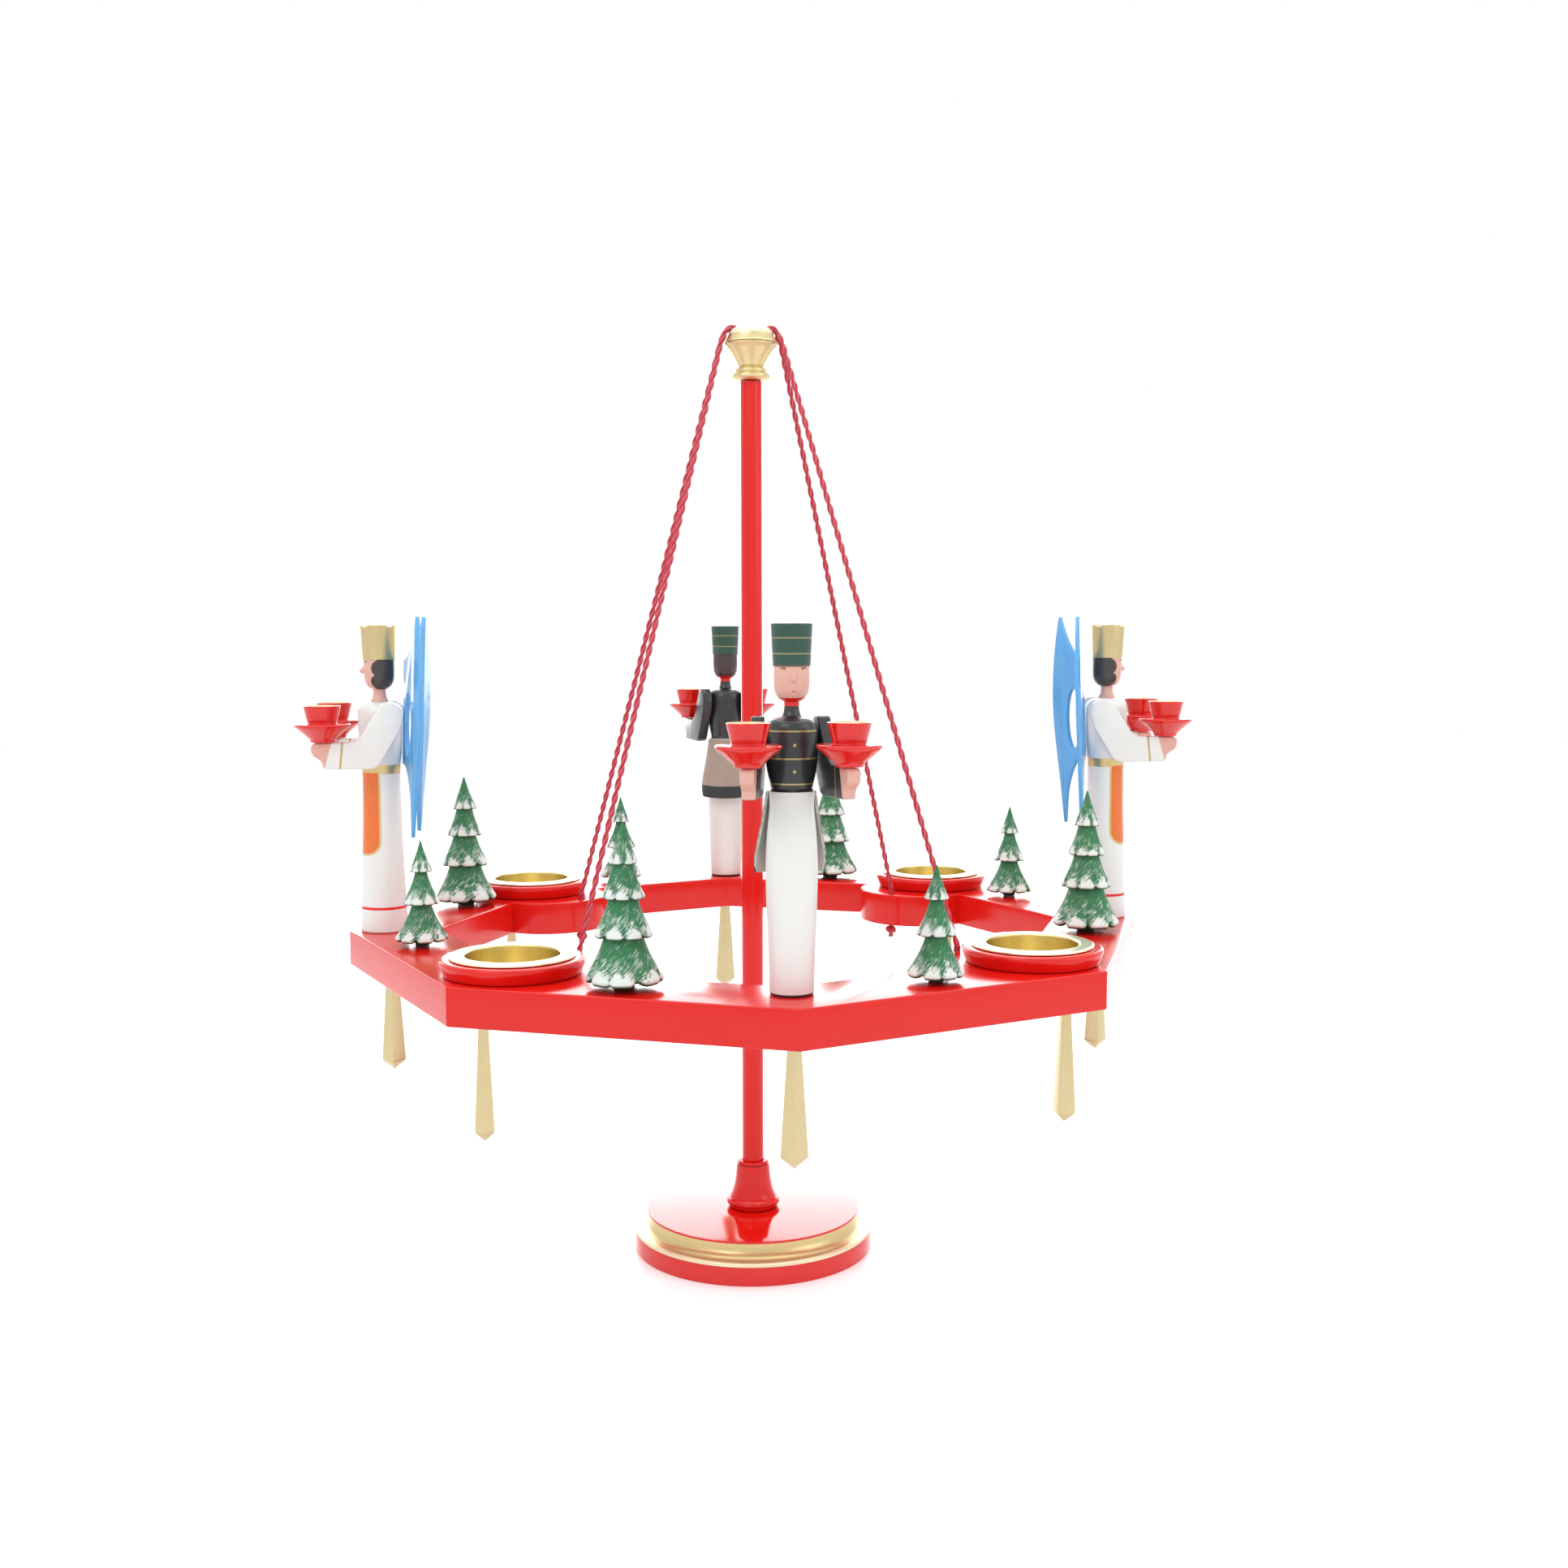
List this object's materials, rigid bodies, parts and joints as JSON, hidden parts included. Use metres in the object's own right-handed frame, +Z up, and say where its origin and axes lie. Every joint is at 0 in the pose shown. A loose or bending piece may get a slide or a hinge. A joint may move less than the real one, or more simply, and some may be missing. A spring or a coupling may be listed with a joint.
{
  "type": "advent wreath candle holder",
  "caption": "Red octagonal wreath board hung on twisted cords from a turned stand, with candle bowls, trees, pendants, and angels and miners holding cups; it turns about its post.",
  "frame": {"origin": "centre of the underside of the base disc, on the post's axis", "axes": "+Z up the post, +X towards one angel's corner of the wreath at rest, -Y towards the front miner"},
  "size_m": [0.4924, 0.4654, 0.5167],
  "materials": {
    "red_lacquer": "gloss red lacquer on turned and sawn wood",
    "gilded_wood": "satin gold paint on turned wood",
    "brass_bowl": "spun brass, bright satin",
    "white_figure": "satin white paint with gold, orange and red detail",
    "black_figure": "satin black paint over white trousers, gold braid",
    "figure_heads": "painted skin and dark hair under gold or green hats",
    "blue_wings": "satin sky-blue paint on thin sawn wood",
    "tree_green": "matt green paint with white snow strokes",
    "seat_leather": "smooth black leather",
    "cord": "twisted two-ply crimson cord"
  },
  "bodies": {
    "stand": {"base_disc": "red_lacquer", "foot_collar": "red_lacquer", "post": "red_lacquer", "finial_cup": "gilded_wood"},
    "wreath": {"angel_left_arm_l": "white_figure", "angel_left_arm_r": "white_figure", "angel_left_body": "white_figure", "angel_left_cup_l": "red_lacquer", "angel_left_cup_r": "red_lacquer", "angel_left_head": "figure_heads", "angel_left_wings": "blue_wings", "angel_right_arm_l": "white_figure", "angel_right_arm_r": "white_figure", "angel_right_body": "white_figure", "angel_right_cup_l": "red_lacquer", "angel_right_cup_r": "red_lacquer", "angel_right_head": "figure_heads", "angel_right_wings": "blue_wings", "candle_front_left_bowl": "brass_bowl", "candle_front_left_plinth": "red_lacquer", "candle_front_right_bowl": "brass_bowl", "candle_front_right_plinth": "red_lacquer", "candle_rear_left_bowl": "brass_bowl", "candle_rear_left_plinth": "red_lacquer", "candle_rear_right_bowl": "brass_bowl", "candle_rear_right_plinth": "red_lacquer", "cord_front": "cord", "cord_rear": "cord", "finial_cap": "gilded_wood", "large_tree_1": "tree_green", "large_tree_2": "tree_green", "large_tree_3": "tree_green", "large_tree_4": "tree_green", "miner_front_arm_l": "black_figure", "miner_front_arm_r": "black_figure", "miner_front_body": "black_figure", "miner_front_cup_l": "red_lacquer", "miner_front_cup_r": "red_lacquer", "miner_front_head": "figure_heads", "miner_front_leather": "seat_leather", "miner_rear_arm_l": "black_figure", "miner_rear_arm_r": "black_figure", "miner_rear_body": "black_figure", "miner_rear_cup_l": "red_lacquer", "miner_rear_cup_r": "red_lacquer", "miner_rear_head": "figure_heads", "miner_rear_leather": "seat_leather", "pendant_1": "gilded_wood", "pendant_2": "gilded_wood", "pendant_3": "gilded_wood", "pendant_4": "gilded_wood", "pendant_5": "gilded_wood", "pendant_6": "gilded_wood", "pendant_7": "gilded_wood", "pendant_8": "gilded_wood", "small_tree_1": "tree_green", "small_tree_2": "tree_green", "small_tree_3": "tree_green", "small_tree_4": "tree_green", "wreath_board": "red_lacquer"}
  },
  "joints": [
    {"name": "wreath_turn", "type": "hinge", "parent": "stand", "child": "wreath", "pos_m": [0, 0, 0.5086], "axis": [0, 0, 1], "continuous": true}
  ]
}
